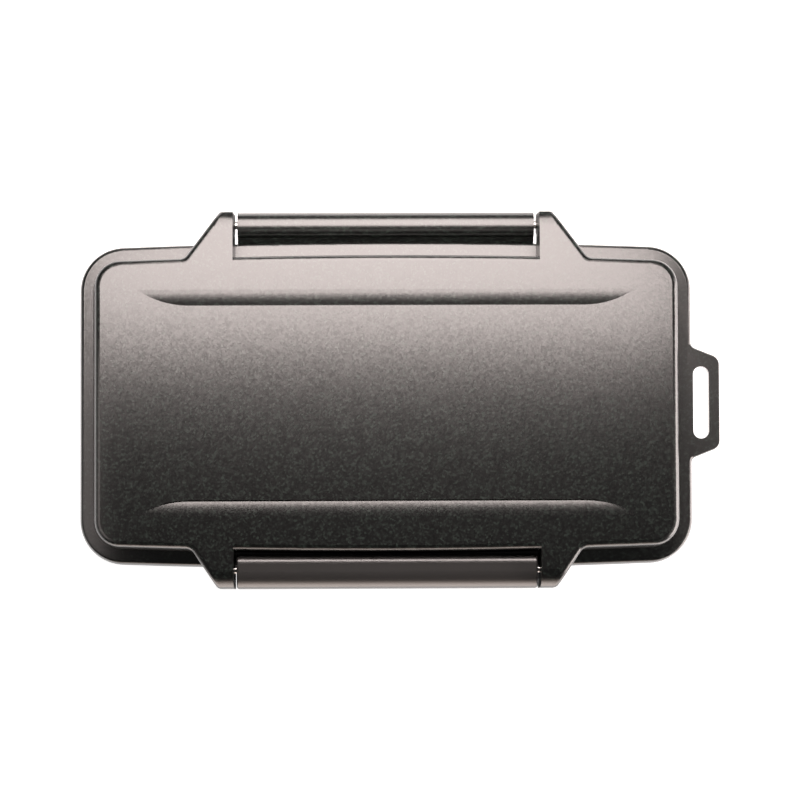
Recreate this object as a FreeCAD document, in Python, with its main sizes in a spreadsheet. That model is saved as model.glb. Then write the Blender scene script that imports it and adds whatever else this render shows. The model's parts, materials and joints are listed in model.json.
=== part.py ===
import FreeCAD, Part
import math
import os
import re

import Sketcher

# Pocket case for memory cards, closed, lying on its base.
# Origin at the middle of the underside, +X to the lanyard loop, +Y to the hinge, +Z up.

# Driving sizes in millimetres: alias, size, what it measures
SIZES = (
    # Base: a tray under a wide rim
    ("rim_length", "134.1", "rim over its lower edge, without the loop"),
    ("rim_depth", "71.9", "rim over its lower edge, at mid length"),
    ("rim_corner", "9.8", "corner radius of the rim's lower edge"),
    ("rim_lean", "0.45", "run of the rim's outer wall"),
    ("rim_thickness", "3.2", "height of the rim"),
    ("rim_round", "0.7", "rounding of the rim's edges"),
    ("ledge_fall", "0.13", "fall of the rim's top from the lid to its edge"),
    ("side_radius", "1540", "radius of the bowed long sides"),
    ("base_height", "14", "underside to rim top"),
    ("base_wall", "2.6", "tray wall just under the rim"),
    ("tray_lean", "0.7", "run of the tray wall"),
    ("tray_round", "2", "rounding of the tray's bottom edge"),
    ("floor_thickness", "2", "tray floor"),
    # Lid: a shallow shell inside the rim's edge
    ("parting_gap", "0.2", "rim top to lid edge"),
    ("lid_height", "7.8", "lid edge to lid top"),
    ("ledge_ends", "3.1", "rim that shows beside the lid at the short ends"),
    ("ledge_sides", "3.42", "rim that shows beside the lid at the long sides"),
    ("lid_lean_ends", "0.8", "run of the lid's end walls"),
    ("lid_lean_sides", "0.5", "run of the lid's long walls"),
    ("lid_foot_corner", "6.6", "corner radius of the lid's edge"),
    ("lid_top_corner", "5.4", "corner radius of the lid's top"),
    ("lid_round", "1.2", "rounding of the lid's top edge"),
    ("lid_wall", "2.1", "lid wall at the top"),
    ("lid_roof", "2", "lid panel"),
    # Long scallops beside the middle of the lid
    ("scallop_place", "21.1", "steep side from the middle line"),
    ("scallop_width", "3.5", "steep side to fade-out"),
    ("scallop_depth", "0.5", "depth at the steep side"),
    ("scallop_straight", "86", "straight stretch"),
    ("scallop_length", "108", "tip to tip"),
    # Ears of the lid, in pairs around the knuckle and the latch
    ("ear_span", "65.9", "between the inner faces of a pair"),
    ("ear_lean", "0.42", "run of the inner faces beside the lid"),
    ("back_ear_tip", "3.3", "width of a back ear at its end"),
    ("front_ear_tip", "3.75", "width of a front ear at its end"),
    ("back_ear_slant_share", "0.75", "extra width of a back ear per length"),
    ("front_ear_slant_share", "0.67", "extra width of a front ear per length"),
    ("ear_root", "3", "length of an ear inside the lid block"),
    ("ear_gap", "0.4", "ears to rim"),
    ("ear_fillet", "2", "fillet between ear and lid wall"),
    ("back_ear_crown", "3.4", "length of the crowned end of a back ear"),
    ("back_ear_fall", "1.41", "fall of the crowned end of a back ear"),
    ("front_ear_round", "4", "rounding of a front ear's end"),
    ("front_ear_toe", "1", "rounding under a front ear"),
    # Hinge at the back
    ("hinge_reach", "3.6", "rim edge to hinge axis"),
    ("knuckle_radius", "2.75", "knuckle"),
    ("lug_radius", "2.1", "back ears round the hinge pin"),
    ("hinge_gap", "0.48", "knuckle end to ear"),
    ("hinge_pin_diameter", "1.8", "hinge pin"),
    # Latch at the front
    ("latch_reach", "0.15", "rim edge to latch axis"),
    ("barrel_radius", "2.5", "latch axis to the latch's top and underside"),
    ("barrel_gap", "0.7", "rim top to the latch's underside"),
    ("latch_back", "3.3", "latch axis to latch back"),
    ("latch_depth", "4.08", "latch axis to latch front"),
    ("latch_wall", "2.1", "latch front wall"),
    ("latch_round", "3.6", "rounding of the latch's top front edge"),
    ("latch_back_round", "2", "rounding of the latch's top back edge"),
    ("latch_gap", "0.3", "latch end to ear"),
    ("latch_end_round", "0.4", "rounding of the latch's ends"),
    ("hook_clearance", "0.15", "rim edge to hook tip"),
    ("hook_gap", "0.4", "rim underside to hook, in height"),
    ("hook_thickness", "1.6", "hook"),
    ("hook_round", "0.6", "rounding of the hook's corners"),
    ("latch_inner_round", "0.8", "rounding inside the latch"),
    ("latch_pin_diameter", "1.6", "latch pin"),
    # Pins
    ("pin_clearance", "0.04", "radial clearance of both pins"),
    ("pin_chamfer", "0.2", "chamfer of the pins' ends"),
    # Lanyard loop at the right end of the rim
    ("loop_reach", "5.9", "rim end to loop edge"),
    ("loop_shift", "0.25", "middle of the rim to middle of the loop, towards the hinge"),
    ("loop_fall", "0.3", "fall of the loop's top from the rim to its edge"),
    ("loop_root", "24.3", "loop length at the rim"),
    ("loop_end", "19.6", "loop length at its edge"),
    ("loop_corner", "2.2", "outer corners of the loop"),
    ("loop_fillet", "1.3", "fillets between loop and rim"),
    ("slot_offset", "0.08", "rim end to slot"),
    ("slot_width", "3.48", "slot"),
    ("slot_length", "15.8", "slot"),
    # Seal in a groove of the rim, with a tongue of the lid above it
    ("seal_inset", "0.7", "cavity edge to groove"),
    ("groove_width", "1.6", "groove"),
    ("groove_depth", "1.6", "groove"),
    ("tongue_gap", "0.3", "groove wall to tongue"),
    ("tongue_drop", "0.8", "tongue below the lid edge"),
    ("seal_gap", "0.2", "tongue to seal"),
    ("seal_slack", "0.05", "groove wall to seal"),
    # Liners with card pockets
    ("liner_gap", "0.2", "shell wall to liner"),
    ("base_deck_drop", "0.6", "rim top to base liner"),
    ("lid_deck_drop", "0.4", "lid edge to lid liner"),
    ("pocket_floor", "1", "liner under a pocket"),
    ("pocket_length", "32.6", "pocket along X"),
    ("pocket_width", "24.6", "pocket along Y"),
    ("pocket_wall", "2.6", "least wall beside a pocket or its notch"),
    ("pocket_corner", "1.5", "pocket corners"),
    ("pocket_round", "0.4", "rounding of the pockets' rims"),
    ("notch_radius", "7", "thumb notch"),
    ("notch_reach", "2.4", "thumb notch past the pocket"),
    # Cutting
    ("overrun", "1", "cutters past the surface"),
)

# Two places closer than this are the same place
SAME = 0.001

# Directions of an arc in an outline
LEFT = 1
RIGHT = -1

doc = FreeCAD.newDocument("memory_card_case")
sheet = doc.addObject("Spreadsheet::Sheet", "Sizes")
for row, (alias, size, meaning) in enumerate(SIZES, start=1):
    sheet.set(f"A{row}", size)
    sheet.setAlias(f"A{row}", alias)
    sheet.set(f"B{row}", meaning)
doc.recompute()
ALIASES = {alias for alias, size, meaning in SIZES}

# Heights
RIM_TOP = "base_height"
RIM_EDGE = "(base_height - ledge_fall)"
RIM_UNDER = "(base_height - rim_thickness)"
LID_EDGE = "(base_height + parting_gap)"
LID_TOP = f"({LID_EDGE} + lid_height)"
EAR_UNDER = f"({RIM_TOP} + ear_gap)"

# Outlines in plan: length, depth, corner radius
RIM_LOWER = ("rim_length", "rim_depth", "rim_corner")
RIM_UPPER = ("(rim_length - 2 * rim_lean)", "(rim_depth - 2 * rim_lean)", "(rim_corner - rim_lean)")
LID_FOOT = ("(rim_length - 2 * ledge_ends)", "(rim_depth - 2 * ledge_sides)", "lid_foot_corner")
LID_PANEL = (
    f"({LID_FOOT[0]} - 2 * lid_lean_ends)",
    f"({LID_FOOT[1]} - 2 * lid_lean_sides)",
    "lid_top_corner",
)


def offset(outline, distance):
    """The outline moved outwards by a distance."""
    length, depth, corner = outline
    return (f"({length} + 2 * ({distance}))", f"({depth} + 2 * ({distance}))", f"({corner} + {distance})")


CAVITY = offset(LID_PANEL, "-lid_wall")
TRAY_UPPER = offset(CAVITY, "base_wall")
TRAY_LOWER = offset(TRAY_UPPER, "-tray_lean")
GROOVE_INNER = offset(CAVITY, "seal_inset")
GROOVE_OUTER = offset(GROOVE_INNER, "groove_width")
LINER = offset(CAVITY, "-liner_gap")

# Hinge and latch axes, both along X
HINGE_Y = "(rim_depth / 2 + hinge_reach)"
HINGE_Z = "(base_height - rim_thickness / 2)"
LATCH_Y = "(rim_depth / 2 + latch_reach)"
LATCH_Z = "(base_height + barrel_gap + barrel_radius)"
LATCH_FRONT = f"({LATCH_Y} + latch_depth)"
EAR_ROOT_Y = f"({LID_PANEL[1]} / 2 - ear_root)"

# Liners
BASE_DECK = f"({RIM_TOP} - base_deck_drop)"
LID_DECK = f"({LID_EDGE} + lid_deck_drop)"
LID_CEILING = f"({LID_TOP} - lid_roof)"
POCKET_DEPTH = f"({LID_CEILING} - {LID_DECK} - pocket_floor)"


def formula(words):
    """A size formula with each alias spelled as a cell of the sheet."""
    return re.sub(r"[a-z_]+", lambda word: f"Sizes.{word[0]}" if word[0] in ALIASES else word[0], words)


def value(words):
    """What a size formula comes to now."""
    return float(sheet.evalExpression(formula(words)))


def bind(thing, **properties):
    """Tie properties to size formulas."""
    for name, words in properties.items():
        thing.setExpression(name, formula(words))


def make_body(label):
    """A body named after its sub-part."""
    body = doc.addObject("PartDesign::Body", label)
    body.Label = label
    body.AllowCompound = True
    return body


def make_sketch(body, name, plane, level="0"):
    """A sketch on one of the body's own planes, moved along the plane's normal to a level."""
    sketch = body.newObject("Sketcher::SketchObject", name)
    support = next(item for item in body.Origin.OriginFeatures if item.Role == plane)
    sketch.AttachmentSupport = (support, [""])
    sketch.MapMode = "FlatFace"
    sketch.setExpression("AttachmentOffset.Base.z", formula(level))
    return sketch


def arc_between(start, end, radius, turn):
    """The arc of under a half circle from start to end that turns left or right."""
    chord = end - start
    middle = (start + end) / 2
    across = FreeCAD.Vector(-chord.y, chord.x) / chord.Length * turn
    centre = middle + across * math.sqrt(max(radius ** 2 - (chord.Length / 2) ** 2, 0))
    first, last = (start, end) if turn == LEFT else (end, start)
    angles = [math.atan2(point.y - centre.y, point.x - centre.x) for point in (first, last)]
    return Part.ArcOfCircle(Part.Circle(centre, FreeCAD.Vector(0, 0, 1), radius), *angles)


def constrain(sketch, rules):
    """Add constraints, each with the formula that its size follows, or None."""
    numbers = sketch.addConstraint([rule for rule, words in rules])
    for number, (rule, words) in zip(numbers, rules):
        if words is not None:
            sketch.setExpression(f"Constraints[{number}]", formula(words))


def point_rules(geometry, point, corner):
    """Rules that hold a point at two formulas, measured from the sketch's origin."""
    rules = []
    for kind, axis, words in (("DistanceX", -2, corner[0]), ("DistanceY", -1, corner[1])):
        distance = value(words)
        if abs(distance) < SAME:
            rules.append((Sketcher.Constraint("PointOnObject", geometry, point, axis), None))
        elif distance > 0:
            rules.append((Sketcher.Constraint(kind, -1, 1, geometry, point, distance), words))
        else:
            rules.append((Sketcher.Constraint(kind, geometry, point, -1, 1, -distance), f"-({words})"))
    return rules


def draw(sketch, corners):
    """Add a closed outline. A corner is (x, y), or (x, y, radius, turn) where an arc leads to it."""
    points = [FreeCAD.Vector(value(corner[0]), value(corner[1])) for corner in corners]
    first = sketch.GeometryCount
    ends = []
    for number, corner in enumerate(corners):
        start, end = points[number - 1], points[number]
        if len(corner) == 2:
            sketch.addGeometry(Part.LineSegment(start, end))
            ends.append((1, 2))
        else:
            sketch.addGeometry(arc_between(start, end, value(corner[2]), corner[3]))
            ends.append((1, 2) if corner[3] == LEFT else (2, 1))
    rules = []
    for number, corner in enumerate(corners):
        following = (number + 1) % len(corners)
        joint = (first + number, ends[number][1], first + following, ends[following][0])
        rules.append((Sketcher.Constraint("Coincident", *joint), None))
        rules += point_rules(first + number, ends[number][1], corner)
        if len(corner) > 2:
            rules.append((Sketcher.Constraint("Radius", first + number, value(corner[2])), corner[2]))
    constrain(sketch, rules)


def draw_circle(sketch, x, y, radius):
    """Add a circle whose place and radius are formulas."""
    centre = FreeCAD.Vector(value(x), value(y))
    number = sketch.addGeometry(Part.Circle(centre, FreeCAD.Vector(0, 0, 1), value(radius)))
    size_rule = (Sketcher.Constraint("Radius", number, value(radius)), radius)
    constrain(sketch, point_rules(number, 3, (x, y)) + [size_rule])


def bowed_corners(outline):
    """Corners of a rounded rectangle whose long sides bow outwards."""
    length, depth, corner = outline
    run = f"({length} / 2 - {corner})"
    reach = f"(side_radius - {corner})"
    rise = f"sqrt({reach}^2 - {run}^2)"
    centre = f"({depth} / 2 - side_radius)"
    end_x = f"{length} / 2"
    end_y = f"({centre} + {rise})"
    bow_x = f"({run} * side_radius / {reach})"
    bow_y = f"({centre} + {rise} * side_radius / {reach})"
    return (
        (end_x, f"-{end_y}", corner, LEFT),
        (end_x, end_y),
        (bow_x, bow_y, corner, LEFT),
        (f"-{bow_x}", bow_y, "side_radius", LEFT),
        (f"-({end_x})", end_y, corner, LEFT),
        (f"-({end_x})", f"-{end_y}"),
        (f"-{bow_x}", f"-{bow_y}", corner, LEFT),
        (bow_x, f"-{bow_y}", "side_radius", LEFT),
    )


def rounded_corners(x, y, length, width, corner):
    """Corners of a rounded rectangle around a middle point."""
    left, right = f"({x} - {length} / 2)", f"({x} + {length} / 2)"
    low, high = f"({y} - {width} / 2)", f"({y} + {width} / 2)"
    return (
        (right, f"{low} + {corner}", corner, LEFT),
        (right, f"{high} - {corner}"),
        (f"{right} - {corner}", high, corner, LEFT),
        (f"{left} + {corner}", high),
        (left, f"{high} - {corner}", corner, LEFT),
        (left, f"{low} + {corner}"),
        (f"{left} + {corner}", low, corner, LEFT),
        (f"{right} - {corner}", low),
    )


def loft(body, name, lower, low, upper, high):
    """A solid with straight walls between two bowed outlines."""
    foot = make_sketch(body, f"{name}_foot", "XY_Plane", low)
    draw(foot, bowed_corners(lower))
    head = make_sketch(body, f"{name}_head", "XY_Plane", high)
    draw(head, bowed_corners(upper))
    feature = body.newObject("PartDesign::AdditiveLoft", name)
    feature.Profile = foot
    feature.Sections = [head]
    feature.Ruled = True
    doc.recompute()
    return feature


def pad(body, name, sketch, length, side="One side", reverse=False):
    """Raise a sketch along its normal."""
    feature = body.newObject("PartDesign::Pad", name)
    feature.Profile = sketch
    feature.SideType = side
    feature.Reversed = reverse
    bind(feature, Length=length)
    doc.recompute()
    return feature


def pocket(body, name, sketch, length, side="One side", reverse=False):
    """Cut a sketch into the body, against its normal, and see that it cuts."""
    before = body.Shape.Volume
    feature = body.newObject("PartDesign::Pocket", name)
    feature.Profile = sketch
    feature.SideType = side
    feature.Reversed = reverse
    bind(feature, Length=length)
    doc.recompute()
    if body.Shape.Volume >= before:
        raise RuntimeError(f"{name} cuts nothing")
    return feature


def dress(body, kind, name, wanted, **sizes):
    """Round or chamfer the body's edges that a test picks."""
    numbers = [number for number, edge in enumerate(body.Shape.Edges, start=1) if wanted(edge)]
    if not numbers:
        raise RuntimeError(f"{name} finds no edge")
    base = body.Tip
    feature = body.newObject(f"PartDesign::{kind}", name)
    feature.Base = (base, [f"Edge{number}" for number in numbers])
    bind(feature, **sizes)
    body.Tip = feature
    doc.recompute()
    return feature


def at_height(edge, height):
    """Whether the whole edge lies at a height."""
    box = edge.BoundBox
    return abs(box.ZMin - height) < SAME and abs(box.ZMax - height) < SAME


def make_base():
    """Tray, rim, hinge knuckle and lanyard loop."""
    body = make_body("base_shell")
    loft(body, "rim", RIM_LOWER, RIM_UNDER, RIM_UPPER, RIM_EDGE)

    # Lanyard loop, in the rim's plane
    loop = make_sketch(body, "loop_outline", "XY_Plane", RIM_UNDER)
    loop_x = "(rim_length / 2 + loop_reach)"
    loop_in = f"{TRAY_UPPER[0]} / 2"
    slope = "((loop_root - loop_end) / 2 / loop_reach)"
    inner_y = f"(loop_root / 2 + (rim_length / 2 - {loop_in}) * {slope})"
    draw(loop, (
        (loop_in, f"loop_shift - {inner_y}"),
        (loop_x, "loop_shift - loop_end / 2"),
        (loop_x, "loop_shift + loop_end / 2"),
        (loop_in, f"loop_shift + {inner_y}"),
    ))
    pad(body, "loop", loop, "rim_thickness - ledge_fall")
    edge_x = value(loop_x)
    dress(body, "Fillet", "loop_corners",
          lambda edge: abs(edge.BoundBox.XMin - edge_x) < SAME and edge.BoundBox.ZLength > SAME,
          Radius="loop_corner")
    rim_x = value("rim_length / 2")
    shift = value("loop_shift")
    root_y = value("loop_root / 2")
    lean = value("rim_lean")
    dress(body, "Fillet", "loop_roots",
          lambda edge: (abs(edge.CenterOfMass.x - rim_x) < lean
                        and abs(abs(edge.CenterOfMass.y - shift) - root_y) < lean
                        and edge.BoundBox.ZLength > SAME),
          Radius="loop_fillet")

    # Edges of the rim and the loop
    for name, height in (("rim_top_edge", RIM_EDGE), ("rim_under_edge", RIM_UNDER)):
        level = value(height)
        dress(body, "Fillet", name, lambda edge: at_height(edge, level), Radius="rim_round")

    # Ledge that rises a little from the rim's edge to the lid
    loft(body, "ledge", offset(RIM_UPPER, "-rim_round"), RIM_EDGE, LID_FOOT, RIM_TOP)

    # Top of the loop, which falls away from the rim
    fall = make_sketch(body, "loop_fall_section", "XZ_Plane")
    rim_flat = f"({RIM_UPPER[0]} / 2 - rim_round)"
    draw(fall, (
        (rim_flat, RIM_EDGE),
        (loop_x, f"{RIM_EDGE} - loop_fall"),
        (loop_x, RIM_EDGE),
    ))
    pocket(body, "loop_fall", fall, "loop_root + 2 * (loop_shift + overrun)", side="Symmetric")

    # Slot of the loop
    slot = make_sketch(body, "slot_outline", "XY_Plane", RIM_TOP)
    slot_x = "(rim_length / 2 + slot_offset + slot_width / 2)"
    straight = "(slot_length - slot_width) / 2"
    left, right = f"({slot_x} - slot_width / 2)", f"({slot_x} + slot_width / 2)"
    draw(slot, (
        (right, f"loop_shift + {straight}"),
        (slot_x, "loop_shift + slot_length / 2", "slot_width / 2", LEFT),
        (left, f"loop_shift + {straight}", "slot_width / 2", LEFT),
        (left, f"loop_shift - {straight}"),
        (slot_x, "loop_shift - slot_length / 2", "slot_width / 2", LEFT),
        (right, f"loop_shift - {straight}", "slot_width / 2", LEFT),
    ))
    pocket(body, "slot", slot, "rim_thickness + overrun")

    # Tray under the rim
    loft(body, "tray", TRAY_LOWER, "0", TRAY_UPPER, RIM_UNDER)
    dress(body, "Fillet", "tray_edge", lambda edge: at_height(edge, 0), Radius="tray_round")

    # Knuckle along the back, on a web that falls towards the rim
    knuckle_length = "ear_span - 2 * hinge_gap"
    knuckle = make_sketch(body, "knuckle_circle", "YZ_Plane")
    draw_circle(knuckle, HINGE_Y, HINGE_Z, "knuckle_radius")
    pad(body, "knuckle", knuckle, knuckle_length, side="Symmetric")
    web = make_sketch(body, "web_section", "YZ_Plane")
    draw(web, (
        (HINGE_Y, f"{HINGE_Z} - knuckle_radius"),
        (HINGE_Y, HINGE_Z),
        (f"{HINGE_Y} - knuckle_radius", HINGE_Z),
        (f"{HINGE_Y} - knuckle_radius - rim_thickness / 2", RIM_UNDER),
        (f"{CAVITY[1]} / 2", RIM_UNDER),
        (f"{CAVITY[1]} / 2", f"{HINGE_Z} - knuckle_radius"),
    ))
    pad(body, "web", web, knuckle_length, side="Symmetric")

    # Cavity, seal groove and bore
    cavity = make_sketch(body, "cavity_outline", "XY_Plane", RIM_TOP)
    draw(cavity, bowed_corners(CAVITY))
    pocket(body, "cavity", cavity, "base_height - floor_thickness")
    groove = make_sketch(body, "groove_outline", "XY_Plane", RIM_TOP)
    draw(groove, bowed_corners(GROOVE_OUTER))
    draw(groove, bowed_corners(GROOVE_INNER))
    pocket(body, "groove", groove, "groove_depth")
    bore = make_sketch(body, "bore_circle", "YZ_Plane")
    draw_circle(bore, HINGE_Y, HINGE_Z, "hinge_pin_diameter / 2 + pin_clearance")
    pocket(body, "bore", bore, "ear_span", side="Symmetric")
    return body


def make_ear(body, name, section, outer, sign):
    """One right-hand ear: a section raised along X, cut to a slant in plan."""
    profile = make_sketch(body, f"{name}_section", "YZ_Plane", "ear_span / 2")
    draw(profile, section)
    tip_x = f"(ear_span / 2 + {name}_tip)"
    run = f"({outer} - {EAR_ROOT_Y}) * {name}_slant_share"
    solid = pad(body, name, profile, f"{name}_tip + {run}")
    plan = make_sketch(body, f"{name}_slant", "XY_Plane", f"{LID_TOP} + overrun")
    draw(plan, (
        (tip_x, f"{sign}{outer}"),
        (f"{tip_x} + {run}", f"{sign}{EAR_ROOT_Y}"),
        (f"{tip_x} + {run} + overrun", f"{sign}{EAR_ROOT_Y}"),
        (f"{tip_x} + {run} + overrun", f"{sign}({outer} + overrun)"),
        (tip_x, f"{sign}({outer} + overrun)"),
    ))
    slant = pocket(body, f"{name}_cut", plan, f"{LID_TOP} + overrun")
    return [solid, slant]


def make_lid():
    """Shallow shell with four ears, a tongue under its edge and two scallops on top."""
    body = make_body("lid_block")

    # Back ears reach down to the hinge pin
    hinge_out = f"({HINGE_Y} + lug_radius)"
    hinge_in = f"({HINGE_Y} - lug_radius)"
    crown = "((back_ear_crown^2 + back_ear_fall^2) / 2 / back_ear_fall)"
    back_section = (
        (EAR_ROOT_Y, LID_TOP),
        (f"{hinge_out} - back_ear_crown", LID_TOP),
        (hinge_out, f"{LID_TOP} - back_ear_fall", crown, RIGHT),
        (hinge_out, HINGE_Z),
        (HINGE_Y, f"{HINGE_Z} - lug_radius", "lug_radius", RIGHT),
        (hinge_in, HINGE_Z, "lug_radius", RIGHT),
        (hinge_in, EAR_UNDER),
        (EAR_ROOT_Y, EAR_UNDER),
    )
    # Front ears reach down in front of the rim
    ear_in = "(rim_depth / 2 + ear_gap)"
    front_section = (
        (f"-{EAR_ROOT_Y}", LID_TOP),
        (f"-{LATCH_FRONT} + front_ear_round", LID_TOP),
        (f"-{LATCH_FRONT}", f"{LID_TOP} - front_ear_round", "front_ear_round", LEFT),
        (f"-{LATCH_FRONT}", f"{RIM_UNDER} + front_ear_toe"),
        (f"-{LATCH_FRONT} + front_ear_toe", RIM_UNDER, "front_ear_toe", LEFT),
        (f"-{ear_in}", RIM_UNDER),
        (f"-{ear_in}", EAR_UNDER),
        (f"-{EAR_ROOT_Y}", EAR_UNDER),
    )
    right_ears = make_ear(body, "back_ear", back_section, hinge_out, "")
    right_ears += make_ear(body, "front_ear", front_section, LATCH_FRONT, "-")
    mirror = body.newObject("PartDesign::Mirrored", "left_ears")
    mirror.Originals = right_ears
    plane = next(item for item in body.Origin.OriginFeatures if item.Role == "YZ_Plane")
    mirror.MirrorPlane = (plane, [""])
    body.Tip = mirror
    doc.recompute()

    # Inner faces of the ears, which lean apart towards the top
    room = make_sketch(body, "ear_room_section", "XZ_Plane")
    upper_x = "(ear_span / 2 + ear_lean)"
    draw(room, (
        ("-ear_span / 2", EAR_UNDER),
        ("ear_span / 2", EAR_UNDER),
        (upper_x, LID_TOP),
        (upper_x, f"{LID_TOP} + overrun"),
        (f"-{upper_x}", f"{LID_TOP} + overrun"),
        (f"-{upper_x}", LID_TOP),
    ))
    pocket(body, "ear_room", room, f"2 * ({hinge_out} + {LATCH_FRONT})", side="Symmetric")

    # Lid block, which joins the ears
    loft(body, "block", LID_FOOT, LID_EDGE, LID_PANEL, LID_TOP)
    tall = value("lid_height / 2")
    foot_y = value(f"{LID_FOOT[1]} / 2")
    tip_x = value("ear_span / 2 + front_ear_tip")
    corner_x = value(f"{LID_PANEL[0]} / 2 - lid_foot_corner")
    dress(body, "Fillet", "ear_roots",
          lambda edge: (edge.BoundBox.ZLength > tall
                        and abs(edge.CenterOfMass.y) < foot_y
                        and tip_x < abs(edge.CenterOfMass.x) < corner_x),
          Radius="ear_fillet")
    top = value(LID_TOP)
    inner_x = value(upper_x) + SAME
    dress(body, "Fillet", "lid_top_edge",
          lambda edge: (at_height(edge, top)
                        and (abs(edge.CenterOfMass.y) < foot_y or edge.BoundBox.YLength > SAME)
                        and (abs(edge.CenterOfMass.x) > inner_x or edge.BoundBox.XLength > SAME)),
          Radius="lid_round")

    # Hollow underside with a tongue round it
    cavity = make_sketch(body, "cavity_outline", "XY_Plane", LID_EDGE)
    draw(cavity, bowed_corners(CAVITY))
    pocket(body, "cavity", cavity, "lid_height - lid_roof", reverse=True)
    tongue = make_sketch(body, "tongue_outline", "XY_Plane", LID_EDGE)
    draw(tongue, bowed_corners(offset(GROOVE_OUTER, "-tongue_gap")))
    draw(tongue, bowed_corners(offset(GROOVE_INNER, "tongue_gap")))
    pad(body, "tongue", tongue, "tongue_drop", reverse=True)

    # Bores for both pins
    bores = make_sketch(body, "bore_circles", "YZ_Plane")
    draw_circle(bores, HINGE_Y, HINGE_Z, "hinge_pin_diameter / 2 + pin_clearance")
    draw_circle(bores, f"-{LATCH_Y}", LATCH_Z, "latch_pin_diameter / 2 + pin_clearance")
    pocket(body, "bores", bores, "rim_length", side="Symmetric")

    # Scallops
    cut = doc.addObject("Part::Cut", "lid_shell")
    cut.Label = "lid_shell"
    cut.Base = body
    cut.Tool = make_scallops()
    doc.recompute()
    return cut


def make_scallops():
    """The air of both scallops: a flat lens in plan over a floor that rises away from the middle."""
    body = make_body("scallop_air")
    outer_y = "(scallop_place + scallop_width)"
    tip_x, straight_x = "scallop_length / 2", "scallop_straight / 2"
    bend = f"((({tip_x} - {straight_x})^2 + scallop_width^2) / 2 / scallop_width)"
    floor = "((scallop_width^2 + scallop_depth^2) / 2 / scallop_depth)"
    plan = make_sketch(body, "lens", "XY_Plane", f"{LID_TOP} - scallop_depth")
    for sign, turn in (("", RIGHT), ("-", LEFT)):
        draw(plan, (
            (f"-({straight_x})", f"{sign}scallop_place", bend, -turn),
            (straight_x, f"{sign}scallop_place"),
            (tip_x, f"{sign}{outer_y}", bend, -turn),
            (f"-({tip_x})", f"{sign}{outer_y}"),
        ))
    pad(body, "lens_air", plan, "scallop_depth + overrun")
    section = make_sketch(body, "floor", "YZ_Plane")
    for sign, turn in (("", RIGHT), ("-", LEFT)):
        draw(section, (
            (f"{sign}scallop_place", f"{LID_TOP} - scallop_depth"),
            (f"{sign}{outer_y}", LID_TOP, floor, turn),
            (f"{sign}({outer_y} + overrun)", LID_TOP),
            (f"{sign}({outer_y} + overrun)", f"{LID_TOP} - scallop_depth - overrun"),
            (f"{sign}scallop_place", f"{LID_TOP} - scallop_depth - overrun"),
        ))
    pocket(body, "rising_floor", section, "scallop_length + 2 * overrun", side="Symmetric")
    return body


def make_latch():
    """Latch bar: flat top over the pin, front wall and a hook below the rim's edge."""
    body = make_body("latch_bar")
    top_z = f"({LATCH_Z} + barrel_radius)"
    under_z = f"({LATCH_Z} - barrel_radius)"
    back_y = f"({LATCH_Y} - latch_back)"
    wall_y = f"({LATCH_FRONT} - latch_wall)"
    hook_z = f"({RIM_UNDER} - hook_gap)"
    foot_z = f"({hook_z} - hook_thickness)"
    hook_y = "(rim_depth / 2 + hook_clearance)"
    section = make_sketch(body, "section", "YZ_Plane")
    draw(section, (
        (f"-{back_y}", f"{top_z} - latch_back_round"),
        (f"-{back_y} - latch_back_round", top_z, "latch_back_round", LEFT),
        (f"-{LATCH_FRONT} + latch_round", top_z),
        (f"-{LATCH_FRONT}", f"{top_z} - latch_round", "latch_round", LEFT),
        (f"-{LATCH_FRONT}", f"{foot_z} + hook_round"),
        (f"-{LATCH_FRONT} + hook_round", foot_z, "hook_round", LEFT),
        (f"-{hook_y} - hook_round", foot_z),
        (f"-{hook_y}", f"{foot_z} + hook_round", "hook_round", LEFT),
        (f"-{hook_y}", f"{hook_z} - hook_round"),
        (f"-{hook_y} - hook_round", hook_z, "hook_round", LEFT),
        (f"-{wall_y} + latch_inner_round", hook_z),
        (f"-{wall_y}", f"{hook_z} + latch_inner_round", "latch_inner_round", RIGHT),
        (f"-{wall_y}", f"{under_z} - latch_inner_round"),
        (f"-{wall_y} + latch_inner_round", under_z, "latch_inner_round", RIGHT),
        (f"-{back_y} - barrel_radius", under_z),
        (f"-{back_y}", LATCH_Z, "barrel_radius", LEFT),
    ))
    pad(body, "bar", section, "ear_span - 2 * latch_gap", side="Symmetric")
    end_x = value("ear_span / 2 - latch_gap")
    dress(body, "Fillet", "ends",
          lambda edge: abs(abs(edge.CenterOfMass.x) - end_x) < SAME,
          Radius="latch_end_round")
    bore = make_sketch(body, "bore_circle", "YZ_Plane")
    draw_circle(bore, f"-{LATCH_Y}", LATCH_Z, "latch_pin_diameter / 2 + pin_clearance")
    pocket(body, "bore", bore, "ear_span", side="Symmetric")
    return body


def make_pin(label, y, z, diameter, ear_tip):
    """Steel rod through a pair of ears, as long as the ears' ends are apart."""
    body = make_body(label)
    circle = make_sketch(body, "circle", "YZ_Plane")
    draw_circle(circle, y, z, f"{diameter} / 2")
    pad(body, "rod", circle, f"ear_span + 2 * {ear_tip}", side="Symmetric")
    dress(body, "Chamfer", "ends", lambda edge: edge.BoundBox.XLength < SAME, Size="pin_chamfer")
    return body


def make_seal():
    """Rubber ring at the bottom of the rim's groove."""
    body = make_body("rim_seal")
    ring = make_sketch(body, "ring", "XY_Plane", f"{RIM_TOP} - groove_depth")
    draw(ring, bowed_corners(offset(GROOVE_OUTER, "-seal_slack")))
    draw(ring, bowed_corners(offset(GROOVE_INNER, "seal_slack")))
    pad(body, "band", ring, "groove_depth + parting_gap - tongue_drop - seal_gap")
    return body


def spread(number, count, room, size):
    """Middle of one of several like things set in a row with even gaps."""
    pitch = f"(({room} - {count} * {size}) / {count + 1} + {size})"
    return f"({pitch} * {number - (count - 1) / 2})"


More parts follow.
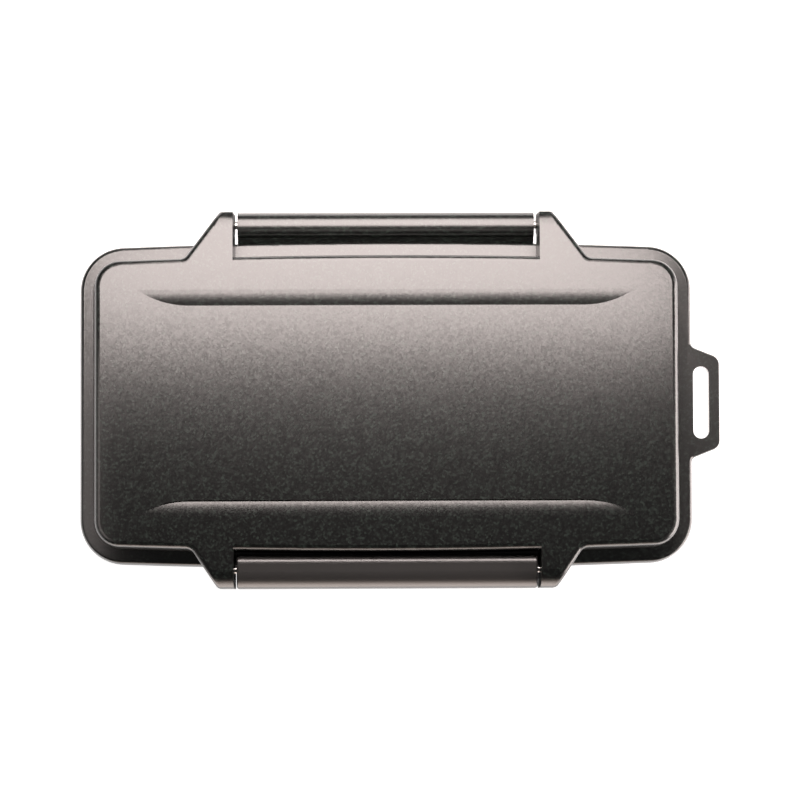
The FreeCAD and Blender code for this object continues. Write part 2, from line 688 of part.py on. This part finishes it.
def fitting(room, size, gap):
    """How many like things fit in a row with at least a gap beside each."""
    return int(value(f"({room} - {gap}) / ({size} + {gap})"))


def pocket_places():
    """Middles of a liner's card pockets."""
    length, depth, corner = LINER
    columns = fitting(length, "pocket_length", "(pocket_wall + notch_reach)")
    lines = fitting(depth, "pocket_width", "pocket_wall")
    return [(spread(column, columns, length, "pocket_length"), spread(line, lines, depth, "pocket_width"))
            for column in range(columns)
            for line in range(lines)]


def make_liner(label, deck, back, up):
    """Moulded tray that fills a half of the case, with card pockets in its deck."""
    body = make_body(label)
    height = f"({deck} - {back})" if up else f"({back} - {deck})"
    block = make_sketch(body, "block_outline", "XY_Plane", back)
    draw(block, bowed_corners(LINER))
    pad(body, "block", block, height, reverse=not up)

    # Card pockets, each with a thumb notch at its right end
    pockets = make_sketch(body, "pocket_outlines", "XY_Plane", deck)
    notches = make_sketch(body, "notch_circles", "XY_Plane", deck)
    for x, y in pocket_places():
        draw(pockets, rounded_corners(x, y, "pocket_length", "pocket_width", "pocket_corner"))
        draw_circle(notches, f"{x} + pocket_length / 2 + notch_reach - notch_radius", y, "notch_radius")
    pocket(body, "pockets", pockets, POCKET_DEPTH, reverse=not up)
    pocket(body, "notches", notches, POCKET_DEPTH, reverse=not up)
    level = value(deck)
    end_x = value(f"{LINER[0]} / 2 - pocket_corner")
    longest = value("pocket_length")
    dress(body, "Fillet", "pocket_rims",
          lambda edge: (at_height(edge, level)
                        and edge.BoundBox.XLength < longest
                        and abs(edge.CenterOfMass.x) < end_x),
          Radius="pocket_round")
    return body


def core_liner(body, back):
    """Hollow the liner's back under each pocket, so that its walls are ribs."""
    cores = make_sketch(body, "core_outlines", "XY_Plane", back)
    for x, y in pocket_places():
        draw(cores, rounded_corners(x, y, "pocket_length", "pocket_width", "pocket_corner"))
    pocket(body, "cores", cores, f"{BASE_DECK} - {back} - {POCKET_DEPTH} - pocket_floor", reverse=True)
    return body


def check_document():
    """Stop if any feature failed."""
    for item in doc.Objects:
        if {"Invalid", "Error"} & set(item.State):
            raise RuntimeError(f"{item.Label} failed: {item.State}")


sub_parts = (
    make_base(),
    make_lid(),
    make_latch(),
    make_pin("hinge_pin", HINGE_Y, HINGE_Z, "hinge_pin_diameter", "back_ear_tip"),
    make_pin("latch_pin", f"-{LATCH_Y}", LATCH_Z, "latch_pin_diameter", "front_ear_tip"),
    make_seal(),
    core_liner(make_liner("base_liner", BASE_DECK, "floor_thickness", up=True), "floor_thickness"),
    make_liner("lid_liner", LID_DECK, LID_CEILING, up=False),
)
check_document()
for part in sub_parts:
    if part.Shape.isNull() or not part.Shape.isValid():
        raise RuntimeError(f"{part.Label} has no valid shape")

os.makedirs("parts", exist_ok=True)
for part in sub_parts:
    part.Shape.exportStep(f"parts/{part.Label}.step")
    print(f"{part.Label}: {len(part.Shape.Solids)} solid, {part.Shape.Volume:.0f} mm3")
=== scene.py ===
import json
import math

import bpy
from mathutils import Matrix, Vector

# Pocket case for memory cards: finishes, studio and camera around the CAD model, in metres.

MM = 0.001

# Camera, as the photograph was taken: almost straight down, a little from the front and from the left
CAMERA_DISTANCE = 0.9
CAMERA_TILT = math.radians(3.4)
CAMERA_LEAN = math.radians(0.9)
CAMERA_ROLL = math.radians(0.235)
CAMERA_OFFSET = (3.0 * MM, 1.07 * MM)
CAMERA_LENS = 185.0
CAMERA_CLIP_END = 20.0
RIM_MIDDLE = 12.4 * MM

# Studio
FLOOR_SIDE = 8.0
FLOOR_HEIGHT = -0.02 * MM
FLOOR_COLOUR = (0.86, 0.86, 0.86, 1.0)
FLOOR_GLOW = 0.9
SKY_COLOUR = (1.0, 1.0, 1.0, 1.0)
SKY_RADIANCE = 0.045

# Light panels: size and middle in millimetres, the way each one faces, its radiance and its colour
SOFT_WHITE = (1.0, 0.885, 0.85)
WARM_WHITE = (1.0, 0.80, 0.70)
UP = (0, 0, 1)
DOWN = (0, 0, -1)
TO_THE_BACK = (0, 1, 0)
TO_THE_RIGHT = (1, 0, 0)
TO_THE_LEFT = (-1, 0, 0)
LIGHTS = {
    "top_panel": ((158, 43.3), (-4.95, 41.6, 107), DOWN, 8.0, SOFT_WHITE),
    "back_strip": ((104, 85.9), (0, 106.2, 107), DOWN, 8.0, SOFT_WHITE),
    "front_card": ((180, 60), (0, -220, 30), TO_THE_BACK, 1.7, WARM_WHITE),
    "front_upper_card": ((180, 40), (0, -220, 80), TO_THE_BACK, 0.35, WARM_WHITE),
    "front_floor_card": ((180, 160), (0, -140, 3), UP, 1.85, WARM_WHITE),
    "right_floor_card": ((96, 120), (112, 0, 3), UP, 1.25, SOFT_WHITE),
    "left_card": ((230, 110), (-220, -55, 55), TO_THE_RIGHT, 0.3, SOFT_WHITE),
    "right_card": ((230, 110), (220, -55, 55), TO_THE_LEFT, 7.2, SOFT_WHITE),
    "left_near_card": ((24, 58), (-78, -16, 45), DOWN, 0.95, SOFT_WHITE),
    "right_near_card": ((24, 58), (82, -16, 45), DOWN, 0.35, SOFT_WHITE),
}

# Plastic of the shells: grains, each with a tone, a lean and a roughness of its own
PLASTIC_IOR = 1.9
SHELL_COLOUR = (0.0195, 0.0290, 0.0240, 1.0)
SHELL_SHADE = (0.0002, 0.0003, 0.0002, 1.0)
PALE_GRAIN_POWER = 4.0
GRAIN = 0.40 * MM
GRAIN_LEAN = 0.032
GRAIN_MEAN = (0.5, 0.5, 0.5)
GRAIN_SPAN = (0.0, 1.0)
GRAIN_ROUGHNESS = (0.276, 0.300)

# Plastic of the latch
LATCH_COLOUR = (0.044, 0.043, 0.042, 1.0)
LATCH_SHADE = (0.037, 0.0361, 0.0351, 1.0)
LATCH_ROUGHNESS = (0.29, 0.31)
LATCH_CLOUD = 6 * MM
LATCH_GRAIN = 0.3 * MM
LATCH_GRAIN_DETAIL = 3.0
LATCH_GRAIN_DEPTH = 0.012 * MM

# Steel of the pins
STEEL_COLOUR = (0.62, 0.61, 0.59, 1.0)
STEEL_SHADE = (0.45, 0.445, 0.43, 1.0)
STEEL_ROUGHNESS = (0.16, 0.24)
STEEL_LINE = 0.12 * MM
STEEL_LINE_STRETCH = (0.02, 1.0, 1.0)
STEEL_LINE_DEPTH = 0.003 * MM

# Rubber of the liners and the seal
LINER_COLOUR = (0.062, 0.063, 0.066, 1.0)
LINER_SHADE = (0.045, 0.046, 0.048, 1.0)
SEAL_COLOUR = (0.022, 0.022, 0.023, 1.0)
SEAL_SHADE = (0.015, 0.015, 0.016, 1.0)
RUBBER_ROUGHNESS = (0.62, 0.78)
RUBBER_CLOUD = 7 * MM
RUBBER_GRAIN = 0.25 * MM
RUBBER_GRAIN_DETAIL = 4.0
RUBBER_GRAIN_DEPTH = 0.02 * MM

# Noise: the range that most of it lies in, its usual detail, and the same scale along all axes
NOISE_SPAN = (0.3, 0.7)
NOISE_DETAIL = 2.0
EVEN = (1.0, 1.0, 1.0)


def shader(name):
    """A new material with its nodes, its links and its Principled shader."""
    material = bpy.data.materials.new(name)
    material.use_nodes = True
    nodes = material.node_tree.nodes
    links = material.node_tree.links
    principled = nodes["Principled BSDF"]
    return material, nodes, links, principled


def add(nodes, kind, **settings):
    """A node with its settings and, for names that are sockets, its input values."""
    node = nodes.new(f"ShaderNode{kind}")
    for name, setting in settings.items():
        if hasattr(node, name):
            setattr(node, name, setting)
        else:
            node.inputs[name.replace("_", " ")].default_value = setting
    return node


def noise(nodes, links, place, size, detail=NOISE_DETAIL, stretch=EVEN):
    """Noise with features of a size in metres, in the part's own frame."""
    mapping = add(nodes, "Mapping", Scale=tuple(share / size for share in stretch))
    links.new(place, mapping.inputs["Vector"])
    texture = add(nodes, "TexNoise", Scale=1.0, Detail=detail)
    links.new(mapping.outputs["Vector"], texture.inputs["Vector"])
    return texture.outputs["Fac"]


def graded(nodes, links, factor, limits, span=NOISE_SPAN):
    """A number that runs between two limits as a factor runs over a span."""
    ramp = add(nodes, "MapRange", From_Min=span[0], From_Max=span[1], To_Min=limits[0], To_Max=limits[1])
    links.new(factor, ramp.inputs["Value"])
    return ramp.outputs["Result"]


def two_tones(nodes, links, factor, first, second):
    """A colour between two tones."""
    mix = add(nodes, "Mix", data_type="RGBA")
    mix.inputs["A"].default_value = first
    mix.inputs["B"].default_value = second
    links.new(factor, mix.inputs["Factor"])
    return mix.outputs["Result"]


def bumped(nodes, links, principled, height, depth):
    """Bumps with a depth in metres."""
    bump = add(nodes, "Bump", Strength=1.0, Distance=depth)
    links.new(height, bump.inputs["Height"])
    links.new(bump.outputs["Normal"], principled.inputs["Normal"])


def grains(nodes, links, place, size):
    """A random colour for each grain of a size in metres, in the part's own frame."""
    mapping = add(nodes, "Mapping", Scale=tuple(share / size for share in EVEN))
    links.new(place, mapping.inputs["Vector"])
    cells = add(nodes, "TexVoronoi", Scale=1.0)
    links.new(mapping.outputs["Vector"], cells.inputs["Vector"])
    return cells.outputs["Color"]


def lean_grains(nodes, links, principled, colour, amount):
    """Lean each grain's surface its own way, by up to half an amount in radians along each axis."""
    centred = add(nodes, "VectorMath", operation="SUBTRACT")
    centred.inputs[1].default_value = GRAIN_MEAN
    links.new(colour, centred.inputs[0])
    lean = add(nodes, "VectorMath", operation="SCALE", Scale=amount)
    links.new(centred.outputs["Vector"], lean.inputs[0])
    leaning = add(nodes, "VectorMath", operation="ADD")
    links.new(add(nodes, "NewGeometry").outputs["Normal"], leaning.inputs[0])
    links.new(lean.outputs["Vector"], leaning.inputs[1])
    normal = add(nodes, "VectorMath", operation="NORMALIZE")
    links.new(leaning.outputs["Vector"], normal.inputs[0])
    links.new(normal.outputs["Vector"], principled.inputs["Normal"])


def shell_plastic():
    """Black moulded plastic with a fine spark-eroded grain, in which a few grains are paler."""
    material, nodes, links, principled = shader("shell_plastic")
    place = add(nodes, "TexCoord").outputs["Object"]
    grain = grains(nodes, links, place, GRAIN)
    channels = add(nodes, "SeparateColor")
    links.new(grain, channels.inputs["Color"])
    tone = channels.outputs["Red"]
    pale = add(nodes, "Math", operation="POWER")
    pale.inputs[1].default_value = PALE_GRAIN_POWER
    links.new(tone, pale.inputs[0])
    links.new(two_tones(nodes, links, pale.outputs["Value"], SHELL_SHADE, SHELL_COLOUR),
              principled.inputs["Base Color"])
    links.new(graded(nodes, links, tone, GRAIN_ROUGHNESS, GRAIN_SPAN), principled.inputs["Roughness"])
    principled.inputs["IOR"].default_value = PLASTIC_IOR
    lean_grains(nodes, links, principled, grain, GRAIN_LEAN)
    return material


def latch_plastic():
    """Black moulded plastic, a shade lighter than the shells and with a softer grain."""
    material, nodes, links, principled = shader("latch_plastic")
    place = add(nodes, "TexCoord").outputs["Object"]
    grain = noise(nodes, links, place, LATCH_GRAIN, detail=LATCH_GRAIN_DETAIL)
    cloud = noise(nodes, links, place, LATCH_CLOUD)
    links.new(two_tones(nodes, links, cloud, LATCH_COLOUR, LATCH_SHADE), principled.inputs["Base Color"])
    links.new(graded(nodes, links, cloud, LATCH_ROUGHNESS), principled.inputs["Roughness"])
    principled.inputs["IOR"].default_value = PLASTIC_IOR
    bumped(nodes, links, principled, grain, LATCH_GRAIN_DEPTH)
    return material


def pin_steel():
    """Bright drawn wire with fine lines along it."""
    material, nodes, links, principled = shader("pin_steel")
    place = add(nodes, "TexCoord").outputs["Object"]
    lines = noise(nodes, links, place, STEEL_LINE, stretch=STEEL_LINE_STRETCH)
    links.new(two_tones(nodes, links, lines, STEEL_COLOUR, STEEL_SHADE), principled.inputs["Base Color"])
    links.new(graded(nodes, links, lines, STEEL_ROUGHNESS), principled.inputs["Roughness"])
    principled.inputs["Metallic"].default_value = 1.0
    bumped(nodes, links, principled, lines, STEEL_LINE_DEPTH)
    return material


def rubber(name, colour, shade):
    """Soft moulded rubber with a matt, slightly dusty skin."""
    material, nodes, links, principled = shader(name)
    place = add(nodes, "TexCoord").outputs["Object"]
    grain = noise(nodes, links, place, RUBBER_GRAIN, detail=RUBBER_GRAIN_DETAIL)
    cloud = noise(nodes, links, place, RUBBER_CLOUD)
    links.new(two_tones(nodes, links, cloud, colour, shade), principled.inputs["Base Color"])
    links.new(graded(nodes, links, grain, RUBBER_ROUGHNESS), principled.inputs["Roughness"])
    bumped(nodes, links, principled, grain, RUBBER_GRAIN_DEPTH)
    return material


def dress_nodes():
    """Give every CAD node the finish of its material slot."""
    finishes = {
        "shell_plastic": shell_plastic(),
        "latch_plastic": latch_plastic(),
        "pin_steel": pin_steel(),
        "seal_rubber": rubber("seal_rubber", SEAL_COLOUR, SEAL_SHADE),
        "liner_rubber": rubber("liner_rubber", LINER_COLOUR, LINER_SHADE),
    }
    for part in frame["record"]["subparts"]:
        node = frame["nodes"][part["node"]]
        for slot in node.material_slots:
            slot.material = finishes[part["material_slot"]]


def make_floor():
    """Pale floor just under the case, white to the eye and in reflections, that keeps the case's shadow."""
    half = FLOOR_SIDE / 2
    mesh = bpy.data.meshes.new("floor")
    corners = ((-half, -half), (half, -half), (half, half), (-half, half))
    mesh.from_pydata([(x, y, FLOOR_HEIGHT) for x, y in corners], [], [(0, 1, 2, 3)])
    floor = bpy.data.objects.new("floor", mesh)
    bpy.context.scene.collection.objects.link(floor)
    material, nodes, links, principled = shader("floor_white")
    nodes.remove(principled)
    diffuse = add(nodes, "BsdfDiffuse", Color=FLOOR_COLOUR)
    path = add(nodes, "LightPath")
    seen = path.outputs["Is Camera Ray"]
    for ray in ("Is Glossy Ray", "Is Transmission Ray"):
        either = add(nodes, "Math", operation="MAXIMUM")
        links.new(seen, either.inputs[0])
        links.new(path.outputs[ray], either.inputs[1])
        seen = either.outputs["Value"]
    strength = add(nodes, "Math", operation="MULTIPLY")
    strength.inputs[1].default_value = FLOOR_GLOW
    links.new(seen, strength.inputs[0])
    glow = add(nodes, "Emission")
    links.new(strength.outputs["Value"], glow.inputs["Strength"])
    both = add(nodes, "AddShader")
    links.new(diffuse.outputs["BSDF"], both.inputs[0])
    links.new(glow.outputs["Emission"], both.inputs[1])
    links.new(both.outputs["Shader"], nodes["Material Output"].inputs["Surface"])
    mesh.materials.append(material)


def make_world():
    """Dim even light from all round."""
    world = bpy.data.worlds.new("studio")
    world.use_nodes = True
    bpy.context.scene.world = world
    background = world.node_tree.nodes["Background"]
    background.inputs["Color"].default_value = SKY_COLOUR
    background.inputs["Strength"].default_value = SKY_RADIANCE


def make_panel(name, size, middle, aim, radiance, colour):
    """Soft light panel of a size, a place, a direction and an even radiance."""
    light = bpy.data.lights.new(name, "AREA")
    light.shape = "RECTANGLE"
    light.size = size[0] * MM
    light.size_y = size[1] * MM
    light.energy = radiance * math.pi * light.size * light.size_y
    light.color = colour
    panel = bpy.data.objects.new(name, light)
    panel.location = Vector(middle) * MM
    panel.rotation_euler = Vector(aim).to_track_quat("-Z", "Y").to_euler()
    panel.visible_camera = False
    bpy.context.scene.collection.objects.link(panel)


def make_lights():
    """Large panel over the back half, a narrower strip behind it, and cards around the case."""
    for name, panel in LIGHTS.items():
        make_panel(name, *panel)


def make_camera():
    """Camera above the case, turned as the photograph was taken."""
    lens = bpy.data.cameras.new("camera")
    lens.lens = CAMERA_LENS
    lens.clip_end = CAMERA_CLIP_END
    camera = bpy.data.objects.new("camera", lens)
    turn = (Matrix.Rotation(-CAMERA_LEAN, 3, "Y")
            @ Matrix.Rotation(CAMERA_TILT, 3, "X")
            @ Matrix.Rotation(-CAMERA_ROLL, 3, "Z"))
    place = Vector((0, 0, RIM_MIDDLE)) + turn @ Vector((*CAMERA_OFFSET, CAMERA_DISTANCE))
    camera.matrix_world = Matrix.Translation(place) @ turn.to_4x4()
    bpy.context.scene.collection.objects.link(camera)
    bpy.context.scene.camera = camera


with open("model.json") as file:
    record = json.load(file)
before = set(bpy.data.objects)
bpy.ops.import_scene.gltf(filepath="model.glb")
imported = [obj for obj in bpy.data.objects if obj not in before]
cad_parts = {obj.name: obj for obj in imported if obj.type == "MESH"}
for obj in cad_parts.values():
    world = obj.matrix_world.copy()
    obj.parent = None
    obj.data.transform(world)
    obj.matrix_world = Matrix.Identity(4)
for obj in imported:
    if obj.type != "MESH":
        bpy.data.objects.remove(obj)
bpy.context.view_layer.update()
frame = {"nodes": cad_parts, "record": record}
bpy.context.scene.view_settings.view_transform = "Standard"
dress_nodes()
make_floor()
make_world()
make_lights()
make_camera()
